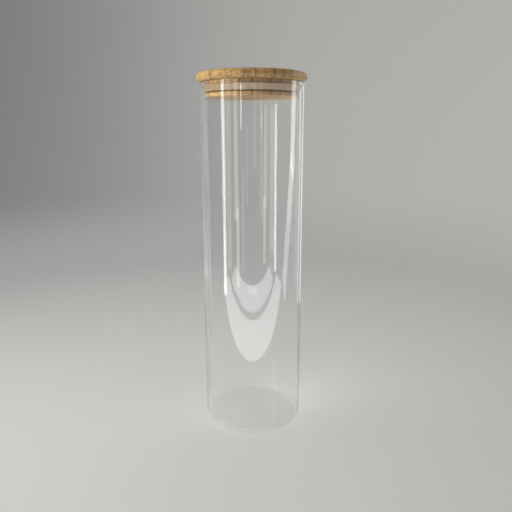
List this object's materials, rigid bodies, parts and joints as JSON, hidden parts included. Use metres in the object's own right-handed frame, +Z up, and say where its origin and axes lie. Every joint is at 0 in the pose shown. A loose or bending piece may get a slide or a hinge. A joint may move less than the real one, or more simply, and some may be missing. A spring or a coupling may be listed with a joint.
{
  "type": "glass storage jar",
  "caption": "Tall straight-sided round glass storage jar with a push-fit bamboo lid sealed by a silicone ring.",
  "frame": {"origin": "centre of the jar's base, on the surface it stands on", "axes": "+Z up along the jar's axis, towards the lid; the lid's bamboo strips run along Y"},
  "size_m": [0.095, 0.095, 0.3162],
  "materials": {
    "glass": "clear, polished, colourless borosilicate",
    "silicone": "translucent, satin, milky silicone",
    "bamboo": "oiled, satin, honey-coloured laminated bamboo"
  },
  "bodies": {
    "jar": {"glass_jar": "glass"},
    "seal": {"seal_ring": "silicone"},
    "lid": {"bamboo_strip_01": "bamboo", "bamboo_strip_02": "bamboo", "bamboo_strip_03": "bamboo", "bamboo_strip_04": "bamboo", "bamboo_strip_05": "bamboo", "bamboo_strip_06": "bamboo", "bamboo_strip_07": "bamboo", "bamboo_strip_08": "bamboo", "bamboo_strip_09": "bamboo", "bamboo_strip_10": "bamboo", "bamboo_strip_11": "bamboo", "bamboo_strip_12": "bamboo"}
  },
  "joints": [
    {"name": "lid_lift", "type": "slide", "parent": "jar", "child": "seal", "axis": [0, 0, 1], "range_m": [0, 0.14]},
    {"name": "lid_turn", "type": "hinge", "parent": "seal", "child": "lid", "pos_m": [0, 0, 0.3088], "axis": [0, 0, 1], "continuous": true}
  ]
}
